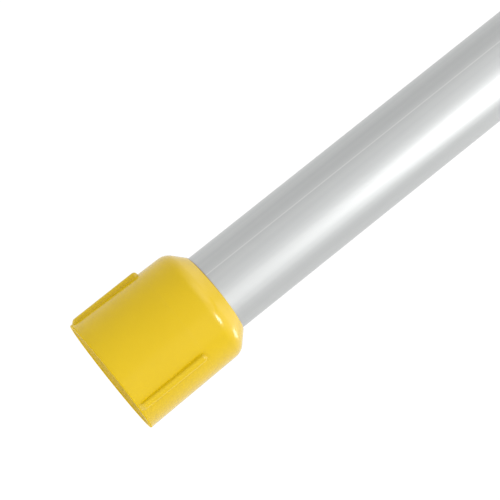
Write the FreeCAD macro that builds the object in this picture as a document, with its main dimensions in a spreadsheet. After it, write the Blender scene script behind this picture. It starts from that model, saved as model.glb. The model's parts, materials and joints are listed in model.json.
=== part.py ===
"""Windsock with pole: a parametric FreeCAD document of every sub-part, in millimetres.

The pole stands along +Z. The origin is the centre of the screw collar's open mouth, at the
foot of the pole. The sock flies towards +X.
"""

import FreeCAD, Part
import math
import os
import re

import Sketcher

Vector = FreeCAD.Vector
Rotation = FreeCAD.Rotation

# The driving dimensions: alias, value in millimetres (degrees for angles), meaning.
DIMENSIONS = [
    ("collar_mouth_radius", 27.8, "screw collar: outer radius at the open mouth"),
    ("collar_side_radius", 26.9, "screw collar: outer radius where the side meets the cone"),
    ("collar_side_height", 50.45, "screw collar: height of that corner"),
    ("collar_height", 57.6, "screw collar: overall height"),
    ("collar_corner", 7.5, "screw collar: rounding between side and cone"),
    ("collar_hole_radius", 19.4, "screw collar: hole that the pole passes through"),
    ("collar_bore_radius", 24.4, "screw collar: bore for a 48.3 mm ground sleeve"),
    ("collar_bore_depth", 40, "screw collar: depth of that bore"),
    ("collar_inner_radius", 23.8, "screw collar: relief round the plug's flange"),
    ("collar_shoulder", 48.5, "screw collar: height of the inner shoulder"),
    ("rib_radius", 29.4, "grip rib: outer radius"),
    ("rib_width", 3.8, "grip rib: width"),
    ("rib_top", 36.5, "grip rib: height of the upper end"),
    ("rib_count", 3, "grip ribs round the collar"),
    ("tube_radius", 19, "lower tube: outer radius"),
    ("tube_wall", 1.5, "lower and upper tube: wall"),
    ("tube_foot", 42, "lower tube: height of the lower end"),
    ("tube_top", 900, "lower tube: height of the upper end"),
    ("plug_radius", 23, "foot plug: flange radius"),
    ("plug_flange_top", 47, "foot plug: height of the flange's upper face"),
    ("plug_stem_top", 80, "foot plug: height of the stem inside the tube"),
    ("plug_hole_radius", 12, "foot plug: drain hole"),
    ("rivet_radius", 2.4, "flush rivets"),
    ("foot_rivet_height", 52, "foot rivets: height"),
    ("clamp_radius", 25, "clamp body: outer radius"),
    ("clamp_foot", 862, "clamp body: height of the lower end"),
    ("clamp_top", 926, "clamp body: height of the upper end"),
    ("clamp_slot_foot", 902, "clamp body: height where the slot starts"),
    ("clamp_slot", 2.4, "clamp body: slot width"),
    ("clamp_screw_height", 878, "clamp screws: height"),
    ("ear_thickness", 7.5, "clamp ears: thickness each"),
    ("ear_reach", 37, "clamp ears: reach from the pole's axis"),
    ("bolt_radius", 2.5, "clamp bolt: radius"),
    ("bolt_reach", 30, "clamp bolt: distance from the pole's axis"),
    ("bolt_height", 914, "clamp bolt: height"),
    ("lever_pin_offset", 17, "lever pin: distance along Y"),
    ("lever_pin_radius", 2, "lever pin: radius"),
    ("lever_inner_radius", 27.4, "clamp lever: inner radius of the handle"),
    ("lever_outer_radius", 31.6, "clamp lever: outer radius of the handle"),
    ("lever_width", 16, "clamp lever: width along the pole"),
    ("lever_sweep", 112, "clamp lever: angle that the handle wraps round the clamp"),
    ("mast_radius", 16, "upper tube: outer radius"),
    ("mast_foot", 770, "upper tube: height of the lower end"),
    ("mast_top", 1580, "upper tube: height of the upper end"),
    ("slide_clearance", 0.08, "radial clearance of the sliding pole section"),
    ("button_height", 1538, "spring button: height"),
    ("button_radius", 3.9, "spring button: radius"),
    ("button_reach", 20.4, "spring button: reach from the pole's axis"),
    ("spigot_flange_radius", 17, "head spigot: flange radius"),
    ("spigot_flange_top", 1588, "head spigot: height of the flange's upper face"),
    ("spindle_radius", 6, "spindle: radius"),
    ("spindle_foot", 1550, "spindle: height of the lower end"),
    ("spindle_top", 1874, "spindle: height of the upper end"),
    ("bearing_radius", 16, "ball bearing: outer radius"),
    ("bearing_width", 10, "ball bearing: width"),
    ("lower_bearing", 1604, "lower bearing: height of its lower face"),
    ("upper_bearing", 1848, "upper bearing: height of its lower face"),
    ("ball_radius", 2.4, "bearing ball: radius"),
    ("ball_circle", 11, "bearing balls: pitch radius"),
    ("hub_radius", 20, "swivel hub: outer radius"),
    ("hub_foot", 1598, "swivel hub: height of the lower end"),
    ("hub_top", 1864, "swivel hub: height of the upper end"),
    ("cap_top", 1892, "hub cap: height of the top"),
    ("band_radius", 23.5, "arm band: outer radius"),
    ("band_height", 18, "arm band: height"),
    ("arm_radius", 4, "arm: radius"),
    ("head_height", 1731, "height of the sock's mouth centre"),
    ("hoop_offset", 62, "mouth hoop: distance from the pole's axis"),
    ("hoop_radius", 120, "mouth hoop: radius to the wire's centre"),
    ("hoop_wire", 3, "hoop wire: radius"),
    ("rear_hoop_offset", 360, "rear hoop: distance from the pole's axis"),
    ("rear_hoop_radius", 102, "rear hoop: radius to the wire's centre"),
    ("stay_radius", 2.5, "basket stay: radius"),
    ("ring_count", 8, "split rings and eyelets round the sock's mouth"),
    ("ring_radius", 9, "split ring: radius to the wire's centre"),
    ("ring_wire", 1.1, "split ring: wire radius"),
    ("eyelet_offset", 75, "eyelets: distance from the pole's axis"),
    ("eyelet_radius", 5, "eyelet: outer radius"),
    ("eyelet_hole", 2.8, "eyelet: hole radius"),
    ("sock_start", 70, "sock: distance of the mouth's edge from the pole's axis"),
    ("sock_length", 965, "sock: length along its centre line"),
    ("mouth_radius", 126.1, "sock: outer radius at the mouth"),
    ("tail_radius", 64, "sock: outer radius at the tail"),
    ("cloth", 1.6, "sock: wall of the stand-in solid"),
    ("hem_length", 25, "sock: length of the mouth hem"),
    ("tail_hem_length", 15, "sock: length of the tail hem"),
    ("band_length", 185, "sock: length of each coloured band"),
    ("band_count", 5, "sock: coloured bands"),
    ("droop_start", 395, "sock: length that the basket holds straight"),
    ("droop_angle", 20, "sock: angle that the tail has dropped by, in degrees"),
]

doc = FreeCAD.newDocument("windsock_with_pole")
sheet = doc.addObject("Spreadsheet::Sheet", "dims")
for row, (alias, size, meaning) in enumerate(DIMENSIONS, start=1):
    sheet.set(f"A{row}", alias)
    sheet.set(f"B{row}", str(size))
    sheet.setAlias(f"B{row}", alias)
    sheet.set(f"C{row}", meaning)
doc.recompute()

ALIASES = {alias for alias, size, meaning in DIMENSIONS}
nodes = []


# ---------------------------------------------------------------- helpers


def cell(expression):
    """The expression with the sheet's name put before each alias."""
    return re.sub(
        r"[a-z_]+",
        lambda word: "dims." + word.group(0) if word.group(0) in ALIASES else word.group(0),
        str(expression),
    )


def value(expression):
    """The number that an expression of aliases gives now."""
    return float(sheet.evalExpression(cell(expression)))


def bind(thing, **sizes):
    """Binds properties of a document object to expressions."""
    for name, expression in sizes.items():
        thing.setExpression(name, cell(expression))
    return thing


def place(thing, x=0, y=0, z=0, turn=None):
    """Sets the rotation, then binds the position."""
    thing.Placement = FreeCAD.Placement(Vector(), turn or Rotation())
    for axis, expression in (("x", x), ("y", y), ("z", z)):
        thing.setExpression("Placement.Base." + axis, cell(expression))
    return thing


def keep(thing, label):
    """Marks a document object as a sub-part, which is written to parts/."""
    thing.Label = label
    nodes.append(thing)
    return thing


ALONG_X = Rotation(Vector(0, 1, 0), 90)
ALONG_Y = Rotation(Vector(1, 0, 0), -90)


def cylinder(name, radius, height, x=0, y=0, z=0, turn=None, sweep=360):
    rod = doc.addObject("Part::Cylinder", name)
    bind(rod, Radius=radius, Height=height, Angle=sweep)
    return place(rod, x, y, z, turn)


def box(name, length, width, height, x=0, y=0, z=0, turn=None):
    block = doc.addObject("Part::Box", name)
    bind(block, Length=length, Width=width, Height=height)
    return place(block, x, y, z, turn)


def sphere(name, radius, x=0, y=0, z=0):
    ball = doc.addObject("Part::Sphere", name)
    bind(ball, Radius=radius)
    return place(ball, x, y, z)


def torus(name, ring, wire, x=0, y=0, z=0, turn=None):
    hoop = doc.addObject("Part::Torus", name)
    bind(hoop, Radius1=ring, Radius2=wire)
    return place(hoop, x, y, z, turn)


def cut(name, base, tool):
    result = doc.addObject("Part::Cut", name)
    result.Base = base
    result.Tool = tool
    return result


def fuse(name, *shapes):
    result = doc.addObject("Part::MultiFuse", name)
    result.Shapes = list(shapes)
    return result


def group(name, members):
    """Separate solids that share one node."""
    result = doc.addObject("Part::Compound", name)
    result.Links = list(members)
    return result


def ring(name, outer, inner, height, x=0, y=0, z=0, turn=None):
    """A plain ring or tube, on its own Z axis from its own origin upwards."""
    rim = cylinder(name + "_rim", outer, height)
    hole = cylinder(name + "_hole", inner, height)
    return place(cut(name, rim, hole), x, y, z, turn)


def outline(body, plane, points):
    """A closed sketch of straight lines whose corners are bound to expressions."""
    sketch = body.newObject("Sketcher::SketchObject", body.Name + "_outline")
    base = [f for f in body.Origin.OriginFeatures if f.Role == plane][0]
    sketch.AttachmentSupport = [(base, "")]
    sketch.MapMode = "FlatFace"
    places = [Vector(value(across), value(up), 0) for across, up in points]
    count = len(points)
    for i in range(count):
        sketch.addGeometry(Part.LineSegment(places[i], places[(i + 1) % count]), False)
    for i in range(count):
        sketch.addConstraint(Sketcher.Constraint("Coincident", i, 2, (i + 1) % count, 1))
    for i, (across, up) in enumerate(points):
        for kind, expression in (("DistanceX", across), ("DistanceY", up)):
            size = value(expression)
            index = sketch.addConstraint(Sketcher.Constraint(kind, -1, 1, i, 1, size))
            sketch.renameConstraint(index, f"{kind}_{i}")
            sketch.setExpression(f"Constraints.{kind}_{i}", cell(expression))
    return sketch


def turned(name, points):
    """A Body turned about Z from (radius, height) corners."""
    body = doc.addObject("PartDesign::Body", name)
    sketch = outline(body, "XZ_Plane", points)
    turn = body.newObject("PartDesign::Revolution", name + "_turn")
    turn.Profile = (sketch, [""])
    turn.ReferenceAxis = (sketch, ["V_Axis"])
    turn.Angle = 360
    return body


def at_corner(edge, corners):
    """True if edge is a full circle about Z at one of the (radius, height) corners."""
    if not isinstance(edge.Curve, Part.Circle):
        return False
    circle = edge.Curve
    return any(
        math.hypot(circle.Radius - radius, circle.Center.z - height) < 0.01
        for radius, height in corners
    )


def rounded(body, radius, *corners):
    """Rounds the circular edges of a turned Body at the given corners."""
    doc.recompute()
    base = body.Tip
    spots = [(value(across), value(up)) for across, up in corners]
    edges = [f"Edge{i}" for i, e in enumerate(base.Shape.Edges, 1) if at_corner(e, spots)]
    fillet = body.newObject("PartDesign::Fillet", base.Name + "_round")
    fillet.Base = (base, edges)
    bind(fillet, Radius=radius)
    return body


def polar(angle, radius):
    """The point at angle degrees and a radius expression, as (cos, sin) expressions."""
    return f"({radius}) * cos({angle} deg)", f"({radius}) * sin({angle} deg)"


# ---------------------------------------------------------------- foot of the pole


def screw_collar():
    """Moulded collar: drafted side, rounded cone, stepped bore, grip ribs."""
    rim = 0.6
    body = turned(
        "screw_collar",
        [
            ("collar_bore_radius", 0),
            ("collar_mouth_radius", 0),
            ("collar_side_radius", "collar_side_height"),
            ("collar_hole_radius + 0.4", "collar_height"),
            ("collar_hole_radius", "collar_height - 0.4"),
            ("collar_hole_radius", "collar_shoulder"),
            ("collar_inner_radius", "collar_shoulder"),
            ("collar_inner_radius", "collar_bore_depth"),
            ("collar_bore_radius", "collar_bore_depth"),
        ],
    )
    rounded(body, "collar_corner", ("collar_side_radius", "collar_side_height"))
    rounded(body, rim, ("collar_mouth_radius", 0))

    rib = outline(
        body,
        "XZ_Plane",
        [
            ("collar_bore_radius + 1", 0.8),
            ("rib_radius - 1.6", 0.8),
            ("rib_radius", 2.4),
            ("rib_radius", "rib_top - 2.6"),
            ("collar_side_radius", "rib_top"),
            ("collar_bore_radius + 1", "rib_top"),
        ],
    )
    pad = body.newObject("PartDesign::Pad", "screw_collar_rib")
    pad.Profile = (rib, [""])
    pad.SideType = "Symmetric"
    bind(pad, Length="rib_width")
    doc.recompute()
    ribs = body.newObject("PartDesign::PolarPattern", "screw_collar_ribs")
    ribs.Originals = [pad]
    axis = [f for f in body.Origin.OriginFeatures if f.Role == "Z_Axis"][0]
    ribs.Axis = (axis, [""])
    ribs.Angle = 360
    bind(ribs, Occurrences="rib_count")
    body.Tip = ribs
    keep(body, "screw_collar")


def foot_plug():
    """Nylon plug in the pole's foot; its flange carries the collar."""
    body = turned(
        "foot_plug_turned",
        [
            ("plug_hole_radius", "collar_bore_depth"),
            ("plug_radius - 1", "collar_bore_depth"),
            ("plug_radius", "collar_bore_depth + 1"),
            ("plug_radius", "plug_flange_top"),
            ("tube_radius + 0.05", "plug_flange_top"),
            ("tube_radius + 0.05", "tube_foot"),
            ("tube_radius - tube_wall - 0.05", "tube_foot"),
            ("tube_radius - tube_wall - 0.05", "plug_stem_top - 2"),
            ("tube_radius - tube_wall - 1", "plug_stem_top"),
            ("plug_hole_radius", "plug_stem_top"),
        ],
    )
    drill = cylinder(
        "foot_plug_drill",
        "rivet_radius + 0.02",
        "2 * tube_radius + 2",
        y="-tube_radius - 1",
        z="foot_rivet_height",
        turn=ALONG_Y,
    )
    keep(cut("foot_plug", body, drill), "foot_plug")


def foot_rivets():
    """Flush rivets that hold the plug in the tube."""
    rivets = []
    for side, start in (("right", "plug_hole_radius + 1"), ("left", "-tube_radius + 0.1")):
        rivets.append(
            cylinder(
                "foot_rivet_" + side,
                "rivet_radius",
                "tube_radius - plug_hole_radius - 1.1",
                y=start,
                z="foot_rivet_height",
                turn=ALONG_Y,
            )
        )
    keep(group("foot_rivets", rivets), "foot_rivets")


def slip_washer():
    """Nylon washer between the plug's flange and the collar's inner shoulder."""
    gap = 0.1
    washer = ring(
        "slip_washer",
        "collar_inner_radius - 0.3",
        "tube_radius + 0.4",
        f"collar_shoulder - plug_flange_top - {2 * gap}",
        z=f"plug_flange_top + {gap}",
    )
    keep(washer, "slip_washer")


# ---------------------------------------------------------------- pole and its clamp


def lower_tube():
    tube = ring(
        "lower_tube_plain",
        "tube_radius",
        "tube_radius - tube_wall",
        "tube_top - tube_foot",
        z="tube_foot",
    )
    drills = [
        cylinder(
            "lower_tube_drill_" + name,
            radius,
            "2 * tube_radius + 2",
            y="-tube_radius - 1",
            z=height,
            turn=ALONG_Y,
        )
        for name, radius, height in (
            ("foot", "rivet_radius + 0.02", "foot_rivet_height"),
            ("clamp", 1.62, "clamp_screw_height"),
        )
    ]
    keep(cut("lower_tube", tube, group("lower_tube_drills", drills)), "lower_tube")


def clamp_body():
    """Split nylon clamp: grips the lower tube for good and the upper one when closed."""
    shell = turned(
        "clamp_shell",
        [
            ("tube_radius + 0.05", "clamp_foot"),
            ("clamp_radius - 1.5", "clamp_foot"),
            ("clamp_radius", "clamp_foot + 6"),
            ("clamp_radius", "clamp_top - 3"),
            ("clamp_radius - 3", "clamp_top"),
            ("mast_radius + slide_clearance + 1", "clamp_top"),
            ("mast_radius + slide_clearance", "clamp_top - 1"),
            ("mast_radius + slide_clearance", "tube_top"),
            ("tube_radius + 0.05", "tube_top"),
        ],
    )
    ear_height = "clamp_top - clamp_slot_foot - 5"
    ears = box(
        "clamp_ears",
        "ear_reach - clamp_radius + 4",
        "2 * ear_thickness + clamp_slot",
        ear_height,
        x="-ear_reach",
        y="-ear_thickness - clamp_slot / 2",
        z="clamp_slot_foot + 2",
    )
    slot = box(
        "clamp_slot",
        "ear_reach - mast_radius + 6",
        "clamp_slot",
        "clamp_top - clamp_slot_foot + 1",
        x="-ear_reach - 1",
        y="-clamp_slot / 2",
        z="clamp_slot_foot",
    )
    bolt_hole = cylinder(
        "clamp_bolt_hole",
        "bolt_radius + 0.1",
        40,
        x="-bolt_reach",
        y=-20,
        z="bolt_height",
        turn=ALONG_Y,
    )
    screws = cylinder(
        "clamp_screw_holes", 1.62, 60, y=-30, z="clamp_screw_height", turn=ALONG_Y
    )
    sinks = [
        cylinder(
            "clamp_screw_sink_" + side, 3.2, 10, y=start, z="clamp_screw_height", turn=ALONG_Y
        )
        for side, start in (("right", "clamp_radius - 3.2"), ("left", "-clamp_radius - 6.8"))
    ]
    waste = group("clamp_waste", [slot, bolt_hole, screws, *sinks])
    keep(cut("clamp_body", fuse("clamp_solid", shell, ears), waste), "clamp_body")


def clamp_screws():
    """Two screws hold the clamp on the lower tube."""
    screws = []
    for side, sign in (("right", 1), ("left", -1)):
        turn = ALONG_Y if sign > 0 else Rotation(Vector(1, 0, 0), 90)
        shank = cylinder(
            f"clamp_screw_{side}_shank",
            1.6,
            "clamp_radius - tube_radius + tube_wall",
            y=f"{sign} * (tube_radius - tube_wall - 1)",
            z="clamp_screw_height",
            turn=turn,
        )
        head = cylinder(
            f"clamp_screw_{side}_head",
            3,
            2.2,
            y=f"{sign} * (clamp_radius - 3.1)",
            z="clamp_screw_height",
            turn=turn,
        )
        socket = cylinder(
            f"clamp_screw_{side}_socket",
            1.3,
            2,
            y=f"{sign} * (clamp_radius - 2.1)",
            z="clamp_screw_height",
            turn=turn,
        )
        screws.append(cut(f"clamp_screw_{side}", fuse(f"clamp_screw_{side}_solid", shank, head), socket))
    keep(group("clamp_screws", screws), "clamp_screws")


def clamp_bolt():
    """Tension bolt through the ears, with an eye for the lever's pin."""
    reach = "ear_thickness + clamp_slot / 2"
    shank = cylinder(
        "clamp_bolt_shank",
        "bolt_radius",
        f"{reach} + 8 + lever_pin_offset - 3",
        x="-bolt_reach",
        y=f"-({reach}) - 8",
        z="bolt_height",
        turn=ALONG_Y,
    )
    eye = cylinder(
        "clamp_bolt_eye",
        4.2,
        5.4,
        x="-bolt_reach",
        y="lever_pin_offset",
        z="bolt_height - 2.7",
    )
    pin_hole = cylinder(
        "clamp_bolt_pin_hole",
        "lever_pin_radius + 0.03",
        8,
        x="-bolt_reach",
        y="lever_pin_offset",
        z="bolt_height - 4",
    )
    bolt = cut("clamp_bolt", fuse("clamp_bolt_solid", shank, eye), pin_hole)
    keep(bolt, "clamp_bolt")

    nut = ring(
        "thumb_nut",
        6.4,
        "bolt_radius + 0.03",
        5.5,
        x="-bolt_reach",
        y=f"-({reach}) - 5.7",
        z="bolt_height",
        turn=ALONG_Y,
    )
    keep(nut, "thumb_nut")

    seat = ring(
        "cam_seat",
        5.6,
        "bolt_radius + 0.1",
        1.8,
        x="-bolt_reach",
        y=f"{reach} + 0.05",
        z="bolt_height",
        turn=ALONG_Y,
    )
    keep(seat, "cam_seat")

    pin = cylinder(
        "lever_pin",
        "lever_pin_radius",
        "lever_width - 1",
        x="-bolt_reach",
        y="lever_pin_offset",
        z="bolt_height - lever_width / 2 + 0.5",
    )
    keep(pin, "lever_pin")


def clamp_lever():
    """Cam lever whose handle wraps round the clamp when it is closed."""
    foot = "bolt_height - lever_width / 2"
    sweep = value("lever_sweep")
    start_angle = 146 - sweep
    start = Rotation(Vector(0, 0, 1), start_angle)
    sector = cylinder(
        "clamp_lever_sector", "lever_outer_radius", "lever_width", z=foot, turn=start, sweep="lever_sweep"
    )
    inside = cylinder("clamp_lever_inside", "lever_inner_radius", "lever_width + 2", z=f"{foot} - 1")
    handle = cut("clamp_lever_handle", sector, inside)
    tip_x, tip_y = polar(start_angle, "(lever_inner_radius + lever_outer_radius) / 2")
    tip = cylinder(
        "clamp_lever_tip",
        "(lever_outer_radius - lever_inner_radius) / 2",
        "lever_width",
        x=tip_x,
        y=tip_y,
        z=foot,
    )
    cam = cylinder(
        "clamp_lever_cam", 6, "lever_width", x="-bolt_reach", y="lever_pin_offset", z=foot
    )
    bolt_slot = box(
        "clamp_lever_bolt_slot",
        16,
        16,
        5.8,
        x="-bolt_reach - 8",
        y="lever_pin_offset - 9",
        z="bolt_height - 2.9",
    )
    pin_hole = cylinder(
        "clamp_lever_pin_hole",
        "lever_pin_radius + 0.06",
        "lever_width + 2",
        x="-bolt_reach",
        y="lever_pin_offset",
        z=f"{foot} - 1",
    )
    solid = fuse("clamp_lever_solid", handle, tip, cam)
    waste = group("clamp_lever_waste", [bolt_slot, pin_hole])
    keep(cut("clamp_lever", solid, waste), "clamp_lever")


def upper_tube():
    tube = ring(
        "upper_tube_plain",
        "mast_radius",
        "mast_radius - tube_wall",
        "mast_top - mast_foot",
        z="mast_foot",
    )
    button_hole = cylinder(
        "upper_tube_button_hole", "button_radius + 0.1", 20, z="button_height", turn=ALONG_Y
    )
    rivet_holes = cylinder(
        "upper_tube_rivet_holes",
        1.52,
        "2 * mast_radius + 2",
        y="-mast_radius - 1",
        z="mast_foot + 15",
        turn=ALONG_Y,
    )
    drills = group("upper_tube_drills", [button_hole, rivet_holes])
    keep(cut("upper_tube", tube, drills), "upper_tube")


def slide_bush():
    """Nylon bush on the upper tube's lower end; it slides in the lower tube."""
    bore = "tube_radius - tube_wall - slide_clearance"
    body = turned(
        "slide_bush_turned",
        [
            ("mast_radius - tube_wall - 1.5", "mast_foot - 4"),
            (f"{bore} - 0.8", "mast_foot - 4"),
            (bore, "mast_foot - 3"),
            (bore, "mast_foot + 30"),
            ("mast_radius + 0.5", "mast_foot + 32"),
            ("mast_radius + 0.02", "mast_foot + 32"),
            ("mast_radius + 0.02", "mast_foot"),
            ("mast_radius - tube_wall - 1.5", "mast_foot"),
        ],
    )
    holes = cylinder("slide_bush_holes", 1.52, 50, y=-25, z="mast_foot + 15", turn=ALONG_Y)
    keep(cut("slide_bush", body, holes), "slide_bush")

    rivets = [
        cylinder(
            "bush_rivet_" + side, 1.5, 4.2, y=start, z="mast_foot + 15", turn=ALONG_Y
        )
        for side, start in (
            ("right", "mast_radius - tube_wall - 1.5"),
            ("left", "-mast_radius + tube_wall - 2.7"),
        )
    ]
    keep(group("bush_rivets", rivets), "bush_rivets")


# ---------------------------------------------------------------- swivel head


def head_spigot():
    """Turned spigot in the mast's top: it holds the spindle and the spring button."""
    body = turned(
        "head_spigot_turned",
        [
            (0, "button_height - 16"),
            ("mast_radius - tube_wall - 1.2", "button_height - 16"),
            ("mast_radius - tube_wall - 0.04", "button_height - 14"),
            ("mast_radius - tube_wall - 0.04", "mast_top"),
            ("spigot_flange_radius", "mast_top"),
            ("spigot_flange_radius", "spigot_flange_top - 1"),
            ("spigot_flange_radius - 1", "spigot_flange_top"),
            ("spindle_radius + 2.5", "spigot_flange_top"),
            ("spindle_radius + 2.5", "lower_bearing"),
            ("spindle_radius + 0.02", "lower_bearing"),
            ("spindle_radius + 0.02", "spindle_foot"),
            (0, "spindle_foot"),
        ],
    )
    pocket = cylinder(
        "head_spigot_pocket", "button_radius + 0.08", 20, y=-1, z="button_height", turn=ALONG_Y
    )
    keep(cut("head_spigot", body, pocket), "head_spigot")


def head_button():
    """Hollow spring button with a domed end, and the spring behind it."""
    length = "button_reach - 4.5"
    shank = cylinder(
        "head_button_shank", "button_radius", f"{length} - 1.4", y=4.5, z="button_height", turn=ALONG_Y
    )
    nose = doc.addObject("Part::Cone", "head_button_nose")
    bind(nose, Radius1="button_radius", Radius2="button_radius - 1.4", Height=1.4)
    place(nose, y="button_reach - 1.4", z="button_height", turn=ALONG_Y)
    hollow = cylinder("head_button_hollow", 2.6, 8, y=3.5, z="button_height", turn=ALONG_Y)
    keep(cut("head_button", fuse("head_button_solid", shank, nose), hollow), "head_button")

    spring = ring("button_spring", 2.3, 1.6, 7.5, y=-0.95, z="button_height", turn=ALONG_Y)
    keep(spring, "button_spring")


def spindle():
    rod = cylinder("spindle", "spindle_radius", "spindle_top - spindle_foot", z="spindle_foot")
    keep(rod, "spindle")


def bearings():
    """Two ball bearings: rings and balls are grouped by kind."""
    inner, outer, balls = [], [], []
    ball_count = 7
    for name in ("lower", "upper"):
        foot = name + "_bearing"
        inner.append(
            ring(
                f"{name}_inner_ring",
                "ball_circle - ball_radius - 0.05",
                "spindle_radius + 0.02",
                "bearing_width",
                z=foot,
            )
        )
        outer.append(
            ring(
                f"{name}_outer_ring",
                "bearing_radius - 0.02",
                "ball_circle + ball_radius + 0.05",
                "bearing_width",
                z=foot,
            )
        )
        for i in range(ball_count):
            x, y = polar(360 / ball_count * i, "ball_circle")
            balls.append(
                sphere(f"{name}_ball_{i}", "ball_radius", x, y, f"{foot} + bearing_width / 2")
            )
    keep(group("bearing_inner_rings", inner), "bearing_inner_rings")
    keep(group("bearing_outer_rings", outer), "bearing_outer_rings")
    keep(group("bearing_balls", balls), "bearing_balls")

    gap = 0.05
    foot = f"lower_bearing + bearing_width + {gap}"
    height = f"upper_bearing - lower_bearing - bearing_width - {2 * gap}"
    keep(ring("inner_spacer", 8, "spindle_radius + 0.1", height, z=foot), "inner_spacer")
    keep(ring("outer_spacer", "bearing_radius - 0.05", 14, height, z=foot), "outer_spacer")


def spindle_nut():
    top = "upper_bearing + bearing_width"
    washer = ring("spindle_washer", 8.4, "spindle_radius + 0.2", 1.5, z=f"{top} + 0.02")
    keep(washer, "spindle_washer")
    hexagon = doc.addObject("Part::Prism", "spindle_nut_hexagon")
    hexagon.Polygon = 6
    bind(hexagon, Circumradius=10.9, Height=9)
    hole = cylinder("spindle_nut_hole", "spindle_radius + 0.02", 9)
    nut = cut("spindle_nut", hexagon, hole)
    place(nut, z=f"{top} + 1.54")
    keep(nut, "spindle_nut")


def hub():
    """Swivel hub tube with its rain skirt and cap."""
    tube = ring(
        "hub_tube", "hub_radius", "bearing_radius", "hub_top - hub_foot", z="hub_foot"
    )
    keep(tube, "hub_tube")

    skirt = turned(
        "rain_skirt",
        [
            ("spigot_flange_radius + 0.8", "mast_top + 3"),
            ("hub_radius + 2", "mast_top + 3"),
            ("hub_radius + 2", "hub_foot + 2.6"),
            ("hub_radius + 1", "hub_foot + 3.6"),
            ("hub_radius + 0.02", "hub_foot + 3.6"),
            ("hub_radius + 0.02", "hub_foot"),
            ("bearing_radius - 1.6", "hub_foot"),
            ("bearing_radius - 1.6", "hub_foot - 3"),
            ("spigot_flange_radius + 0.8", "hub_foot - 3"),
        ],
    )
    keep(skirt, "rain_skirt")

    cap = turned(
        "hub_cap",
        [
            ("hub_radius + 0.02", "hub_top - 2"),
            ("hub_radius + 2.4", "hub_top - 2"),
            ("hub_radius + 2", "cap_top - 10"),
            (11, "cap_top"),
            (0, "cap_top"),
            (0, "cap_top - 3"),
            (13.5, "cap_top - 3"),
            (13.5, "hub_top"),
            ("hub_radius + 0.02", "hub_top"),
        ],
    )
    rounded(cap, 4, (11, "cap_top"))
    rounded(cap, 4, ("hub_radius + 2", "cap_top - 10"))
    keep(cap, "hub_cap")


def arm_bands():
    """Two bands on the hub, the arms that they carry and their grub screws."""
    screws = []
    for name, sign in (("upper", 1), ("lower", -1)):
        centre = f"head_height + {sign} * hoop_radius"
        foot = f"{centre} - band_height / 2"
        plain = ring(f"{name}_band_ring", "band_radius", "hub_radius + 0.02", "band_height", z=foot)
        boss = cylinder(
            f"{name}_band_boss",
            7,
            "band_radius - hub_radius + 8",
            x="hub_radius + 1",
            z=centre,
            turn=ALONG_X,
        )
        socket = cylinder(
            f"{name}_band_socket",
            "arm_radius + 0.02",
            40,
            x="hub_radius + 0.5",
            z=centre,
            turn=ALONG_X,
        )
        threads = [
            cylinder(
                f"{name}_band_thread_{side}", 2.02, 12, y=start, z=centre, turn=ALONG_Y
            )
            for side, start in (("right", "hub_radius - 2"), ("left", "-hub_radius - 10"))
        ]
        waste = group(f"{name}_band_waste", [socket, *threads])
        band = cut(f"{name}_band", fuse(f"{name}_band_solid", plain, boss), waste)
        keep(band, f"{name}_band")

        rod = cylinder(
            f"{name}_arm",
            "arm_radius",
            "hoop_offset - hub_radius - 1",
            x="hub_radius + 1",
            z=centre,
            turn=ALONG_X,
        )
        keep(rod, f"{name}_arm")

        for side, start in (("right", "hub_radius + 0.1"), ("left", "-band_radius - 0.3")):
            grub = cylinder(
                f"{name}_grub_{side}",
                2,
                "band_radius - hub_radius + 0.2",
                y=start,
                z=centre,
                turn=ALONG_Y,
            )
            screws.append(grub)
    keep(group("band_screws", screws), "band_screws")


# ---------------------------------------------------------------- hoops and sock


def basket():
    """Wire hoops and the four stays between them."""
    for name, radius, offset in (
        ("mouth_hoop", "hoop_radius", "hoop_offset"),
        ("rear_hoop", "rear_hoop_radius", "rear_hoop_offset"),
    ):
        hoop = torus(name, radius, "hoop_wire", x=offset, z="head_height", turn=ALONG_X)
        keep(hoop, name)

    run = value("rear_hoop_offset - hoop_offset")
    drop = value("hoop_radius - rear_hoop_radius")
    length = math.hypot(run, drop)
    taper = math.degrees(math.atan2(drop, run))
    end_gap = value("hoop_wire")
    stays = []
    for i in range(4):
        around = 45 + 90 * i
        lean = Rotation(Vector(1, 0, 0), around) * Rotation(Vector(0, 1, 0), 90 + taper)
        radial = Rotation(Vector(1, 0, 0), around).multVec(Vector(0, 0, 1))
        start = radial * value("hoop_radius") + lean.multVec(Vector(0, 0, end_gap))
        stays.append(
            cylinder(
                f"basket_stay_{i}",
                "stay_radius",
                length - 2 * end_gap,
                x=f"hoop_offset + {start.x}",
                y=start.y,
                z=f"head_height + {start.z}",
                turn=lean,
            )
        )
    keep(group("basket_stays", stays), "basket_stays")


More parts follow.
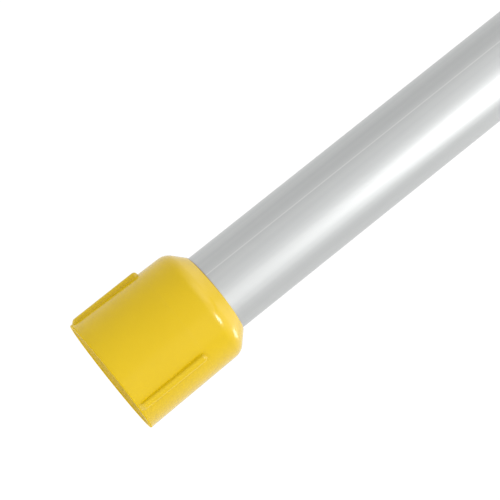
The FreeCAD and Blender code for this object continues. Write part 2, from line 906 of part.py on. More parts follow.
def mouth_fittings():
    """Split rings through eyelets tie the sock's hem to the mouth hoop."""
    count = int(value("ring_count"))
    rings, eyelets, drills = [], [], []
    for i in range(count):
        around = 360 / count * (i + 0.5)
        radial_turn = Rotation(Vector(1, 0, 0), around)
        flat = radial_turn * Rotation(Vector(1, 0, 0), 90)
        out_y, out_z = f"-sin({around} deg)", f"cos({around} deg)"
        rings.append(
            torus(
                f"split_ring_{i}",
                "ring_radius",
                "ring_wire",
                x="hoop_offset + 4.2",
                y=f"(hoop_radius + 2) * {out_y}",
                z=f"head_height + (hoop_radius + 2) * {out_z}",
                turn=flat,
            )
        )
        inner = "mouth_radius - cloth - 1.2"
        eyelets.append(
            ring(
                f"eyelet_{i}",
                "eyelet_radius",
                "eyelet_hole",
                "cloth + 1.6",
                x="eyelet_offset",
                y=f"({inner}) * {out_y}",
                z=f"head_height + ({inner}) * {out_z}",
                turn=radial_turn,
            )
        )
        drills.append(
            cylinder(
                f"hem_drill_{i}",
                "eyelet_radius + 0.02",
                8,
                x="eyelet_offset",
                y=f"(mouth_radius - 5) * {out_y}",
                z=f"head_height + (mouth_radius - 5) * {out_z}",
                turn=radial_turn,
            )
        )
    keep(group("split_rings", rings), "split_rings")
    keep(group("eyelets", eyelets), "eyelets")
    return group("hem_drills", drills)


def hoop_circle(name, along, radius):
    """A circle across the sock's centre line, which is straight and then an arc."""
    tilt = f"max({along} - droop_start; 0) / (sock_length - droop_start) * droop_angle"
    bend = "(sock_length - droop_start) / droop_angle * 180 / pi"
    circle = doc.addObject("Part::Circle", name)
    bind(circle, Radius=radius)
    place(
        circle,
        x=f"sock_start + min({along}; droop_start) + {bend} * sin({tilt} * 1 deg)",
        z=f"head_height - {bend} * (1 - cos({tilt} * 1 deg))",
        turn=ALONG_X,
    )
    circle.setExpression("Placement.Rotation.Angle", cell(f"(90 + {tilt}) * 1 deg"))
    return circle


def sock_piece(name, start, end):
    """A tapered tube of cloth between two lengths along the sock."""
    walls = []
    for wall, inset in (("outside", "0"), ("inside", "cloth")):
        circles = []
        for place_name, along in (("start", start), ("end", end)):
            taper = f"(mouth_radius - tail_radius) * ({along}) / sock_length"
            radius = f"mouth_radius - {taper} - {inset}"
            circles.append(hoop_circle(f"{name}_{wall}_{place_name}", f"({along})", radius))
        loft = doc.addObject("Part::Loft", f"{name}_{wall}")
        loft.Sections = circles
        loft.Solid = True
        loft.Ruled = True
        walls.append(loft)
    return cut(name, *walls)


def sock(drills):
    hem = sock_piece("sock_hem_plain", "0", "hem_length")
    keep(cut("sock_hem", hem, drills), "sock_hem")
    for i in range(int(value("band_count"))):
        start = f"hem_length + {i} * band_length"
        name = f"sock_band_{i + 1}"
        keep(sock_piece(name, start, f"{start} + band_length"), name)
    tail = sock_piece("tail_hem", "sock_length - tail_hem_length", "sock_length")
    keep(tail, "tail_hem")


screw_collar()
slip_washer()
foot_plug()
foot_rivets()
lower_tube()
clamp_body()
clamp_screws()
clamp_bolt()
clamp_lever()
upper_tube()
slide_bush()
head_spigot()
head_button()
spindle()
bearings()
spindle_nut()
hub()
arm_bands()
basket()
sock(mouth_fittings())

doc.recompute()

# ---------------------------------------------------------------- checks and export

for thing in doc.Objects:
    if "Invalid" in thing.State or "Error" in thing.State:
        raise RuntimeError(f"{thing.Name} did not recompute: {thing.State}")
for node in nodes:
    if node.Shape.isNull() or not node.Shape.isValid() or not node.Shape.Solids:
        raise RuntimeError(f"{node.Label} has no valid solid")

os.makedirs("parts", exist_ok=True)
for node in nodes:
    node.Shape.exportStep(f"parts/{node.Label}.step")
print(len(nodes), "sub-parts written")
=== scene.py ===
import json
import math

import bmesh
import bpy
from mathutils import Matrix, Quaternion, Vector, noise

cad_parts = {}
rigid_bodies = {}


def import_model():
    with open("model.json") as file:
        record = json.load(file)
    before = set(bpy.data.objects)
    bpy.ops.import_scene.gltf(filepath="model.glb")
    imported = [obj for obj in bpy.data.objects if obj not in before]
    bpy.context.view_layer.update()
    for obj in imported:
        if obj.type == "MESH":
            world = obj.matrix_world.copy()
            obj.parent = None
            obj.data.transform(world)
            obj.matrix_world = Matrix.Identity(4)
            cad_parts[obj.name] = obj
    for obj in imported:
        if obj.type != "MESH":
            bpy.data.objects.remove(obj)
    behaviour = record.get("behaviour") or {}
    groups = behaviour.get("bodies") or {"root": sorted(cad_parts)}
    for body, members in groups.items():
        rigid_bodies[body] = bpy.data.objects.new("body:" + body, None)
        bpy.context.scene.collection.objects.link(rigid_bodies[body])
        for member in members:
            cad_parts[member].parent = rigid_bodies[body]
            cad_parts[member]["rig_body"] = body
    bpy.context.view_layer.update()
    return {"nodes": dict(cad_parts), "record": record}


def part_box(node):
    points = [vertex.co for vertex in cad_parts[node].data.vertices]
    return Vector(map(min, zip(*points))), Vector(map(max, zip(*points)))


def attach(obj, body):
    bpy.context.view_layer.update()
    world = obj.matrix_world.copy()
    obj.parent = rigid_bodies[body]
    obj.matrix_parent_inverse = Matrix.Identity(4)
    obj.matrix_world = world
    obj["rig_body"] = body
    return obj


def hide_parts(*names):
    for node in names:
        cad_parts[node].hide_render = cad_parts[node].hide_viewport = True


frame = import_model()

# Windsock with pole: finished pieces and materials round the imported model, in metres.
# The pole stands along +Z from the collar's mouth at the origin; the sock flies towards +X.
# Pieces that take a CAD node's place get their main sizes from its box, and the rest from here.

scene = bpy.context.scene
MM = 0.001
UP = Vector((0, 0, 1))


# ---------------------------------------------------------------- shapes


def smoothstep(low, high, x):
    t = min(max((x - low) / (high - low), 0), 1)
    return t * t * (3 - 2 * t)


def add_object(name, vertices, faces, material, body, sharp=35):
    """A smooth-shaded mesh that rides on a body, with edges sharper than the angle kept."""
    mesh = bpy.data.meshes.new(name)
    mesh.from_pydata(vertices, [], faces)
    mesh.validate()
    for polygon in mesh.polygons:
        polygon.use_smooth = True
    mesh.set_sharp_from_angle(angle=math.radians(sharp))
    mesh.materials.append(material)
    piece = bpy.data.objects.new(name, mesh)
    scene.collection.objects.link(piece)
    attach(piece, body)
    return piece


def applied(piece):
    """Takes the result of the piece's modifiers as its mesh."""
    view = bpy.context.evaluated_depsgraph_get()
    result = bpy.data.meshes.new_from_object(piece.evaluated_get(view))
    piece.modifiers.clear()
    piece.data = result


def outward(mesh):
    """Makes every closed shell's normals face out."""
    shell = bmesh.new()
    shell.from_mesh(mesh)
    bmesh.ops.recalc_face_normals(shell, faces=shell.faces)
    shell.to_mesh(mesh)
    shell.free()


def pins(poses, radius, length, segments):
    """A cutter of round pins, each centred on a pose and along its Z axis."""
    work = bmesh.new()
    for pose in poses:
        bmesh.ops.create_cone(
            work,
            cap_ends=True,
            segments=segments,
            radius1=radius,
            radius2=radius,
            depth=length,
            matrix=pose,
        )
    mesh = bpy.data.meshes.new("pins")
    work.to_mesh(mesh)
    work.free()
    made = bpy.data.objects.new("pins", mesh)
    scene.collection.objects.link(made)
    return made


def cut_by(piece, cutter):
    """Takes the cutter's shape out of the piece, and the cutter out of the scene."""
    hole = piece.modifiers.new("hole", "BOOLEAN")
    hole.operation = "DIFFERENCE"
    hole.object = cutter
    applied(piece)
    bpy.data.objects.remove(cutter)


def rounded_outline(corners, arc_steps=5):
    """A closed (radius, height) outline; a third number rounds that corner."""
    points = []
    count = len(corners)
    for i, corner in enumerate(corners):
        here = Vector(corner[:2])
        if len(corner) < 3:
            points.append(here)
            continue
        before = (Vector(corners[i - 1][:2]) - here).normalized()
        after = (Vector(corners[(i + 1) % count][:2]) - here).normalized()
        half = before.angle(after) / 2
        reach = corner[2] / math.tan(half)
        centre = here + (before + after).normalized() * (corner[2] / math.sin(half))
        start = here + before * reach - centre
        end = here + after * reach - centre
        for step in range(arc_steps + 1):
            points.append(centre + start.slerp(end, step / arc_steps) * corner[2])
    return points


def even_turns(count):
    return [2 * math.pi * i / count for i in range(count)]


def lathe(outline, turns, swell=None):
    """Vertices and faces of a closed outline at each turn about Z. swell(turn, r, z) adds to r."""
    vertices = []
    for turn in turns:
        for radius, height in outline:
            reach = radius + (swell(turn, radius, height) if swell else 0)
            vertices.append((reach * math.cos(turn), reach * math.sin(turn), height))
    rows, columns = len(outline), len(turns)
    faces = []
    for i in range(columns):
        following = (i + 1) % columns
        for j in range(rows):
            up = (j + 1) % rows
            faces.append((i * rows + j, following * rows + j, following * rows + up, i * rows + up))
    return vertices, faces


def ring_of_points(centre, side_way, up, radius, sides):
    """Points round a wire's centre line, in the plane of two directions."""
    return [
        centre + side_way * math.cos(turn) * radius + up * math.sin(turn) * radius
        for turn in even_turns(sides)
    ]


def wire_faces(first, rings, sides):
    """Faces that join rings of points into a wire with closed ends."""
    faces = []
    for ring in range(rings - 1):
        for n in range(sides):
            a = first + ring * sides + n
            b = first + ring * sides + (n + 1) % sides
            faces.append((a, b, b + sides, a + sides))
    last = first + (rings - 1) * sides
    faces.append(tuple(first + n for n in reversed(range(sides))))
    faces.append(tuple(last + n for n in range(sides)))
    return faces


# ---------------------------------------------------------------- materials

COLLAR_HOLE = 19.4 * MM
# The turn round the pole where the aluminium's painted reflection line lies.
PAINTED_REFLECTION_TURN = -1.164


class Nodes:
    """A short way to write a material's node tree."""

    def __init__(self, name):
        self.material = bpy.data.materials.new(name)
        self.material.use_nodes = True
        self.tree = self.material.node_tree
        self.shader = self.tree.nodes["Principled BSDF"]

    def node(self, kind, **inputs):
        made = self.tree.nodes.new("ShaderNode" + kind)
        for key, value in inputs.items():
            name = key.replace("_", " ")
            if name in made.inputs:
                self.feed(made.inputs[name], value)
            else:
                setattr(made, key, value)
        return made

    def feed(self, socket, value):
        if isinstance(value, bpy.types.NodeSocket):
            self.tree.links.new(value, socket)
        else:
            socket.default_value = value

    def set(self, **inputs):
        for key, value in inputs.items():
            self.feed(self.shader.inputs[key.replace("_", " ")], value)

    def math(self, operation, a, b=0.0):
        made = self.tree.nodes.new("ShaderNodeMath")
        made.operation = operation
        self.feed(made.inputs[0], a)
        self.feed(made.inputs[1], b)
        return made.outputs[0]

    def place(self):
        return self.node("TexCoord").outputs["Object"]

    def noise(self, vector, scale, detail=3.0, roughness=0.5):
        made = self.node("TexNoise", Scale=scale, Detail=detail, Roughness=roughness)
        self.feed(made.inputs["Vector"], vector)
        return made.outputs["Fac"]

    def ramp(self, factor, low, high, start=0.0, end=1.0):
        """Two values or colours blended by a factor."""
        made = self.node("ValToRGB")
        self.feed(made.inputs["Fac"], factor)
        for element, place, value in zip(made.color_ramp.elements, (start, end), (low, high)):
            element.position = place
            element.color = (*value, 1) if hasattr(value, "__len__") else (value, value, value, 1)
        return made.outputs["Color"]

    def bump(self, height, distance, strength=1.0, before=None):
        made = self.node("Bump", Strength=strength, Distance=distance)
        self.feed(made.inputs["Height"], height)
        if before:
            self.feed(made.inputs["Normal"], before)
        return made.outputs["Normal"]

    def mixed(self, factor, first, second):
        """Two colours mixed by a factor."""
        made = self.node("Mix", data_type="RGBA")
        self.feed(made.inputs["Factor"], factor)
        self.feed(made.inputs["A"], first)
        self.feed(made.inputs["B"], second)
        return made.outputs["Result"]

    def round_the_pole(self, around, along):
        """Coordinates that run round and along the Z axis, each with its own scale."""
        parts = self.node("SeparateXYZ", Vector=self.place())
        angle = self.math("ARCTAN2", parts.outputs["Y"], parts.outputs["X"])
        wide = self.math("COSINE", angle)
        deep = self.math("SINE", angle)
        made = self.node("CombineXYZ")
        self.feed(made.inputs["X"], self.math("MULTIPLY", wide, around))
        self.feed(made.inputs["Y"], self.math("MULTIPLY", deep, around))
        self.feed(made.inputs["Z"], self.math("MULTIPLY", parts.outputs["Z"], along))
        return made.outputs["Vector"]


def yellow_plastic():
    """Glossy moulded plastic with faint flow and handling marks.

    The collar's matt rim and a painted shade line by its hole belong to it too. No other yellow
    piece reaches down to them.
    """
    made = Nodes("yellow_plastic")
    place = made.place()
    parts = made.node("SeparateXYZ", Vector=place)
    x, y, z = parts.outputs["X"], parts.outputs["Y"], parts.outputs["Z"]

    # Painted shade: a dark brown line on top of the collar, up to a millimetre from its hole and
    # mostly on one side, stands in for the shade where the tube leaves the collar.
    squared = made.math("ADD", made.math("MULTIPLY", x, x), made.math("MULTIPLY", y, y))
    from_hole = made.math("SUBTRACT", made.math("SQRT", squared), COLLAR_HOLE)
    at_hole = made.ramp(made.math("MULTIPLY", from_hole, 1 / MM), 1.0, 0.0, 0.4, 0.95)
    above = made.math("GREATER_THAN", z, 56 * MM)
    below = made.math("LESS_THAN", z, 60 * MM)
    aside = made.math("ADD", made.math("MULTIPLY", x, 17), made.math("MULTIPLY", y, 20))
    one_side = made.ramp(made.math("ADD", aside, 0.5), 1.0, 0.0, 0.25, 0.6)
    painted_gap_shade = made.math("MULTIPLY", made.math("MULTIPLY", at_hole, above), below)
    painted_gap_shade = made.math("MULTIPLY", painted_gap_shade, one_side)

    flow = made.noise(place, 26, 2)
    marks = made.noise(place, 420, 4, 0.6)
    clean = made.ramp(flow, (0.568, 0.386, 0.001), (0.592, 0.404, 0.002), 0.3, 0.7)
    polish = made.ramp(marks, 0.18, 0.23, 0.35, 0.7)
    rim = made.ramp(made.math("MULTIPLY", z, 1 / MM), 1.0, 0.0, 0.45, 0.75)
    # The base colour takes in the painted shade line by the hole.
    made.set(
        Base_Color=made.mixed(painted_gap_shade, clean, (0.10, 0.045, 0.01, 1)),
        Roughness=made.math("ADD", polish, made.math("MULTIPLY", rim, 0.35)),
        Specular_IOR_Level=made.math("SUBTRACT", 0.5, made.math("MULTIPLY", rim, 0.4)),
        Normal=made.bump(marks, 0.00001, 0.3, made.bump(flow, 0.0003, 0.12)),
    )
    return made.material


def anodised_aluminium():
    """Satin tube with fine lines along the pole, and one painted reflection: a near-white stripe in
    the base colour at one turn round the pole.
    """
    made = Nodes("anodised_aluminium")
    lines = made.noise(made.round_the_pole(60, 0.8), 3.2, 4, 0.65)
    broad = made.noise(made.round_the_pole(3, 0.6), 2.0, 2)
    specks = made.noise(made.place(), 900, 2)
    parts = made.node("SeparateXYZ", Vector=made.place())
    angle = made.math("ARCTAN2", parts.outputs["Y"], parts.outputs["X"])
    # Painted reflection: the base colour turns near white in a narrow stripe at one turn round the
    # pole.
    from_line = made.math("ABSOLUTE", made.math("SUBTRACT", angle, PAINTED_REFLECTION_TURN))
    painted_reflection_line = made.ramp(made.math("MULTIPLY", from_line, 10), 1.0, 0.0, 0.04, 0.2)
    metal = made.ramp(broad, (0.595, 0.607, 0.606), (0.635, 0.645, 0.641), 0.3, 0.7)
    made.set(
        Base_Color=made.mixed(made.math("MULTIPLY", painted_reflection_line, 0.35), metal, (0.95, 0.95, 0.94, 1)),
        Metallic=1.0,
        Roughness=made.ramp(lines, 0.39, 0.47, 0.3, 0.7),
        Anisotropic=0.3,
        Normal=made.bump(lines, 0.00003, 0.35, made.bump(specks, 0.00001, 0.3)),
    )
    return made.material


def black_nylon():
    made = Nodes("black_nylon")
    place = made.place()
    grain = made.noise(place, 1100, 3, 0.6)
    wear = made.noise(place, 60, 3)
    made.set(
        Base_Color=made.ramp(wear, (0.009, 0.009, 0.010), (0.018, 0.018, 0.019), 0.35, 0.7),
        Roughness=made.ramp(wear, 0.42, 0.58, 0.3, 0.7),
        Specular_IOR_Level=0.35,
        Normal=made.bump(grain, 0.00006, 0.5),
    )
    return made.material


def stainless_steel():
    made = Nodes("stainless_steel")
    place = made.place()
    brushed = made.noise(place, 700, 4, 0.7)
    broad = made.noise(place, 35, 2)
    made.set(
        Base_Color=made.ramp(broad, (0.52, 0.52, 0.53), (0.62, 0.62, 0.62), 0.3, 0.7),
        Metallic=1.0,
        Roughness=made.ramp(brushed, 0.2, 0.34, 0.3, 0.7),
        Normal=made.bump(brushed, 0.00002, 0.4),
    )
    return made.material


def brass():
    made = Nodes("brass")
    place = made.place()
    tarnish = made.noise(place, 180, 3)
    made.set(
        Base_Color=made.ramp(tarnish, (0.48, 0.32, 0.10), (0.74, 0.55, 0.24), 0.35, 0.65),
        Metallic=1.0,
        Roughness=made.ramp(tarnish, 0.38, 0.22, 0.3, 0.7),
        Normal=made.bump(tarnish, 0.00004, 0.3),
    )
    return made.material


def cloth(name, deep, light):
    """Coated ripstop: fine plain weave with a thicker yarn at every grid line. UVs are in metres."""
    yarn = 0.42 * MM
    ripstop = 5 * MM
    narrow = 24
    made = Nodes(name)
    parts = made.node("SeparateXYZ", Vector=made.node("TexCoord").outputs["UV"])
    across, along = parts.outputs["X"], parts.outputs["Y"]

    def yarns(coordinate, pitch):
        return made.math("SINE", made.math("MULTIPLY", coordinate, 2 * math.pi / pitch))

    weave = made.math("MULTIPLY", yarns(across, yarn * 2), yarns(along, yarn * 2))
    grid_across = made.math("POWER", made.math("ABSOLUTE", yarns(across, ripstop * 2)), narrow)
    grid_along = made.math("POWER", made.math("ABSOLUTE", yarns(along, ripstop * 2)), narrow)
    grid = made.math("MAXIMUM", grid_across, grid_along)
    place = made.place()
    fade = made.noise(place, 9, 4)
    slub = made.noise(place, 240, 3)
    tone = made.math("ADD", made.math("MULTIPLY", fade, 0.8), made.math("MULTIPLY", slub, 0.2))
    body_colour = made.ramp(tone, deep, light, 0.35, 0.65)
    grid_colour = (*[min(c * 1.18 + 0.01, 1) for c in light], 1)
    height = made.math("ADD", made.math("MULTIPLY", weave, 0.5), made.math("MULTIPLY", grid, 1.6))
    made.set(
        Base_Color=made.mixed(made.math("MULTIPLY", grid, 0.35), body_colour, grid_colour),
        Roughness=made.ramp(slub, 0.5, 0.66, 0.3, 0.7),
        Sheen_Weight=0.25,
        Sheen_Roughness=0.4,
        Normal=made.bump(height, 0.00006, 0.6, made.bump(fade, 0.004, 0.15)),
    )
    return made.material


def webbing(name, deep, light):
    """Heavy woven tape: ribs across the tape and a herringbone of thick yarn."""
    rib = 1.6 * MM
    herringbone = 4 * MM
    made = Nodes(name)
    parts = made.node("SeparateXYZ", Vector=made.node("TexCoord").outputs["UV"])
    around, over = parts.outputs["X"], parts.outputs["Y"]
    zigzag = made.math("PINGPONG", over, herringbone)
    slanted = made.math("ADD", around, zigzag)
    ribs = made.math("SINE", made.math("MULTIPLY", slanted, 2 * math.pi / rib))
    fine = made.math("SINE", made.math("MULTIPLY", over, 2 * math.pi / (rib * 0.6)))
    place = made.place()
    fade = made.noise(place, 30, 3)
    height = made.math("ADD", made.math("MULTIPLY", ribs, 0.7), made.math("MULTIPLY", fine, 0.3))
    made.set(
        Base_Color=made.ramp(fade, deep, light, 0.3, 0.7),
        Roughness=made.ramp(fade, 0.62, 0.78, 0.3, 0.7),
        Sheen_Weight=0.3,
        Normal=made.bump(height, 0.0002, 0.6),
    )
    return made.material


def thread():
    made = Nodes("thread")
    place = made.place()
    twist = made.noise(place, 1600, 2)
    made.set(
        Base_Color=made.ramp(twist, (0.62, 0.61, 0.57), (0.86, 0.85, 0.82), 0.3, 0.7),
        Roughness=made.ramp(twist, 0.55, 0.75, 0.3, 0.7),
        Normal=made.bump(twist, 0.0001, 0.5),
    )
    return made.material


YELLOW = yellow_plastic()
ALUMINIUM = anodised_aluminium()
NYLON = black_nylon()
STEEL = stainless_steel()
BRASS = brass()
ORANGE = cloth("orange_cloth", (0.70, 0.075, 0.008), (0.86, 0.12, 0.012))
WHITE = cloth("white_cloth", (0.74, 0.74, 0.72), (0.84, 0.84, 0.82))
TAPE = webbing("hem_webbing", (0.66, 0.66, 0.64), (0.80, 0.80, 0.78))
THREAD = thread()

SLOT_MATERIALS = {
    "yellow_plastic": YELLOW,
    "anodised_aluminium": ALUMINIUM,
    "black_nylon": NYLON,
    "stainless_steel": STEEL,
    "brass": BRASS,
    "orange_cloth": ORANGE,
    "white_cloth": WHITE,
    "hem_webbing": TAPE,
}

for subpart in frame["record"]["subparts"]:
    shown = frame["nodes"][subpart["node"]]
    for place in shown.material_slots:
        place.material = SLOT_MATERIALS[subpart["material_slot"]]


# ---------------------------------------------------------------- pole and head

RIBS = 3
RIB_HALF_ANGLE = math.radians(6.2)
POLE_WALL = 1.5 * MM
HUB_WALL = 4 * MM
PAST_THE_TUBE = 25 * MM


def with_rows(outline, is_wall, pitch, extra):
    """Adds points at an even pitch to the outline's long walls, and at the extra heights."""
    long_wall = 5 * MM
    finer = []
    for i, point in enumerate(outline):
        finer.append(point)
        following = outline[(i + 1) % len(outline)]
        length = following.y - point.y
        if length > long_wall and is_wall(point, following):
            rows = [pitch * k for k in range(1, int(length / pitch))]
            rows += [height - point.y for height in extra]
            finer += [point.lerp(following, row / length) for row in sorted(rows)]
    return finer


def collar():
    """The moulded collar, with grip ribs that grow out of the drafted side."""
    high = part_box("screw_collar")[1]
    rib_reach = high.x
    top = high.z
    mouth = 27.8 * MM
    side = 26.9 * MM
    side_top = 50.45 * MM
    bore = 24.4 * MM
    lead_in = 1.5 * MM
    lead_in_height = 3.5 * MM
    recess = 23.8 * MM
    recess_low = 40 * MM
    recess_top = 48.5 * MM
    corners = [
        (bore, lead_in_height, 0.8 * MM),
        (bore + lead_in, 0.0, 0.3 * MM),
        (mouth, 0.0, 0.45 * MM),
        (side, side_top, 7.5 * MM),
        (COLLAR_HOLE, top, 0.25 * MM),
        (COLLAR_HOLE, recess_top),
        (recess, recess_top, 0.6 * MM),
        (recess, recess_low),
        (bore, recess_low, 0.3 * MM),
    ]

    half_rib = 1.9 * MM
    rib_top = 36.5 * MM
    rib_nose = rib_top - 2.6 * MM
    nose_stretch = 0.85
    soft_edge = 0.3 * MM
    witness_height = rib_top - 0.6 * MM
    witness_rise = 0.02 * MM

    def is_side(point, following):
        return min(point.x, following.x) > side - 0.1 * MM

    def side_radius(height):
        return mouth + (side - mouth) * height / side_top

    def swell(angle, radius, height):
        """The ribs, rounded at the upper end, and the faint moulding line at their tops."""
        if radius < bore + lead_in or height > side_top:
            return 0
        sector = 2 * math.pi / RIBS
        turn = (angle + sector / 2) % sector - sector / 2
        across = abs(turn) * radius
        beyond = max(height - rib_nose, 0) * nose_stretch
        distance = math.hypot(across, beyond)
        crown = max(1 - (distance / half_rib) ** 2.6, 0) ** 0.42
        rib = crown * (1 - smoothstep(half_rib - soft_edge, half_rib, distance) * 0.5)
        foot = smoothstep(0.2 * MM, 2.8 * MM, height)
        off_witness = abs(height - witness_height)
        witness = witness_rise * (1 - smoothstep(0.05 * MM, 0.3 * MM, off_witness))
        return (rib_reach - side_radius(height)) * rib * foot + witness

    at_witness = [witness_height + 0.1 * MM * k for k in range(-3, 4)]
    outline = with_rows(rounded_outline(corners, 14), is_side, 0.45 * MM, at_witness)

    angles = []
    for rib in range(RIBS):
        centre = rib * 2 * math.pi / RIBS
        angle = -RIB_HALF_ANGLE
        while angle < RIB_HALF_ANGLE:
            angles.append(centre + angle)
            angle += math.radians(0.14)
        while angle < 2 * math.pi / RIBS - RIB_HALF_ANGLE:
            angles.append(centre + angle)
            angle += math.radians(1.5)
    vertices, faces = lathe(outline, angles, swell)
    piece = add_object("collar_moulding", vertices, faces, YELLOW, "collar", 60)
    outward(piece.data)
    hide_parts("screw_collar")


def tube(name, node, body, wall):
    """A drawn tube with broken edges, from its CAD node's box."""
    low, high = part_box(node)
    outer = (high.x - low.x) / 2
    edge = 0.3 * MM
    corners = [
        (outer - wall, low.z, edge),
        (outer, low.z, edge),
        (outer, high.z, edge),
        (outer - wall, high.z, edge),
    ]
    vertices, faces = lathe(rounded_outline(corners), even_turns(160))
    piece = add_object(name, vertices, faces, ALUMINIUM, body)
    outward(piece.data)
    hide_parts(node)
    return piece


def drilled(piece, height, radius, start=-PAST_THE_TUBE, end=PAST_THE_TUBE):
    """A round hole across a tube, along Y from start to end: through both walls or through one."""
    middle = Matrix.Translation((0, (start + end) / 2, height))
    cut_by(piece, pins([middle @ Matrix.Rotation(math.pi / 2, 4, "X")], radius, end - start, 64))


def true_normals(piece):
    """Points the normals of a tube's walls straight out or in again after its holes are cut.

    The ends with their broken edges and the walls of the holes keep their own normals.
    """
    mesh = piece.data
    mesh.set_sharp_from_angle(angle=math.radians(35))
    normals = [Vector(corner.vector) for corner in mesh.corner_normals]
    for polygon in mesh.polygons:
        if abs(polygon.normal.z) > 0.01:
            continue
        for index in polygon.loop_indices:
            place = mesh.vertices[mesh.loops[index].vertex_index].co
            radial = Vector((place.x, place.y, 0)).normalized()
            facing_out = radial.dot(polygon.normal)
            if abs(facing_out) > 0.95:
                normals[index] = radial * math.copysign(1, facing_out)
    mesh.normals_split_custom_set(normals)


def softened(node, width):
    """A CAD node's own shape with its sharp edges broken, in the node's place."""
    source = frame["nodes"][node]
    mesh = source.data.copy()
    mesh.name = f"{node}_finished"
    work = bmesh.new()
    work.from_mesh(mesh)
    bmesh.ops.remove_doubles(work, verts=work.verts, dist=0.002 * MM)
    bmesh.ops.dissolve_limit(work, angle_limit=math.radians(1), verts=work.verts, edges=work.edges)
    work.to_mesh(mesh)
    work.free()
    if mesh.has_custom_normals:
        mesh.attributes.remove(mesh.attributes["custom_normal"])
    for polygon in mesh.polygons:
        polygon.use_smooth = True
    piece = bpy.data.objects.new(f"{node}_finished", mesh)
    scene.collection.objects.link(piece)
    edge = piece.modifiers.new("edge", "BEVEL")
    edge.width = width
    edge.segments = 3
    edge.limit_method = "ANGLE"
    edge.angle_limit = math.radians(32)
    edge.miter_outer = "MITER_ARC"
    edge.use_clamp_overlap = True
    applied(piece)
    piece.data.set_sharp_from_angle(angle=math.radians(42))
    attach(piece, source["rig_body"])
    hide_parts(node)


def knurled_nut():
    """The thumb nut of the clamp's bolt, which lies along Y, with a knurled rim for the fingers."""
    low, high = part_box("thumb_nut")
    centre = (low + high) / 2
    radius = (high.z - low.z) / 2
    half = (high.y - low.y) / 2
    bore = 2.53 * MM
    ridges = 26
    depth = 0.45 * MM
    corners = [
        (bore, -half, 0.3 * MM),
        (radius, -half, 0.7 * MM),
        (radius, half, 0.7 * MM),
        (bore, half, 0.3 * MM),
    ]

    def knurl(turn, reach, height):
        if reach < radius - 0.3 * MM:
            return 0
        return -depth * abs(math.sin(ridges * turn / 2)) ** 3

    vertices, faces = lathe(rounded_outline(corners, 6), even_turns(ridges * 12), knurl)
    vertices = [(centre.x + x, centre.y + z, centre.z - y) for x, y, z in vertices]
    piece = add_object("thumb_nut_knurled", vertices, faces, NYLON, "adjuster", 50)
    outward(piece.data)
    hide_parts("thumb_nut")


# The width of each broken edge, in millimetres.
EASED_EDGES = {
    "hub_cap": 0.8,
    "clamp_body": 0.5,
    "clamp_lever": 0.5,
    "head_spigot": 0.3,
    "slide_bush": 0.25,
    "foot_plug": 0.3,
    "rain_skirt": 0.4,
    "upper_band": 0.4,
    "lower_band": 0.4,
    "upper_arm": 0.3,
    "lower_arm": 0.3,
    "head_button": 0.3,
    "cam_seat": 0.2,
    "slip_washer": 0.2,
    "foot_rivets": 0.25,
    "clamp_bolt": 0.2,
    "lever_pin": 0.2,
}

# Height and radius of the holes that the rivets, the screws and the button sit in.
FOOT_RIVET_HOLES = (52 * MM, 2.42 * MM)
CLAMP_SCREW_HOLES = (878 * MM, 1.62 * MM)
BUSH_RIVET_HOLES = (785 * MM, 1.52 * MM)
BUTTON_HOLE = (1538 * MM, 4 * MM)

collar()
knurled_nut()
for node, width in EASED_EDGES.items():
    softened(node, width * MM)
lower_pole = tube("lower_tube_drawn", "lower_tube", "pole", POLE_WALL)
drilled(lower_pole, *FOOT_RIVET_HOLES)
drilled(lower_pole, *CLAMP_SCREW_HOLES)
true_normals(lower_pole)
upper_pole = tube("upper_tube_drawn", "upper_tube", "mast", POLE_WALL)
drilled(upper_pole, *BUTTON_HOLE, start=5 * MM)
drilled(upper_pole, *BUSH_RIVET_HOLES)
true_normals(upper_pole)
tube("hub_tube_drawn", "hub_tube", "head", HUB_WALL)


# ---------------------------------------------------------------- sock

# The sock leaves its mouth level, held by the basket, and then hangs in an even curve in a light wind.
SOCK_START = 70 * MM
SOCK_HEIGHT = 1731 * MM
SOCK_LENGTH = 965 * MM
MOUTH_RADIUS = 126.1 * MM
TAIL_RADIUS = 64 * MM
LEVEL_LENGTH = 395 * MM
DROOP = math.radians(20)
BEND_RADIUS = (SOCK_LENGTH - LEVEL_LENGTH) / DROOP
HEM = 25 * MM
TAIL_HEM = 15 * MM
BAND = 185 * MM
BANDS = 5
CLOTH_START = 12 * MM
CLOTH_END = SOCK_LENGTH - 3 * MM
CLOTH = 0.45 * MM
CLOTH_INSET = 0.55 * MM
TAPE_THICKNESS = 0.7 * MM
SEAM_LAP = 5 * MM
THREAD_RADIUS = 0.28 * MM
RINGS = 8
FIRST_RING = math.pi / RINGS
REAR_HOOP = 290 * MM
SEAMS = [HEM + BAND * i for i in range(BANDS + 1)]
CLOTH_COLUMNS = 288
TAPE_COLUMNS = 432


def sock_frame(s):
    """Centre and upward direction at a length along the sock."""
    bent = max(s - LEVEL_LENGTH, 0)
    angle = bent / BEND_RADIUS
    x = SOCK_START + min(s, LEVEL_LENGTH) + BEND_RADIUS * math.sin(angle)
    z = SOCK_HEIGHT - BEND_RADIUS * (1 - math.cos(angle))
    return Vector((x, 0, z)), Vector((math.sin(angle), 0, math.cos(angle)))


def cone_radius(s):
    return MOUTH_RADIUS - (MOUTH_RADIUS - TAIL_RADIUS) * s / SOCK_LENGTH


def wander(x, y, z=0.0):
    """Smooth random values round zero, the same on every run."""
    return noise.noise(Vector((x, y, z)))


# The next three say in millimetres how far the cloth is moved out.


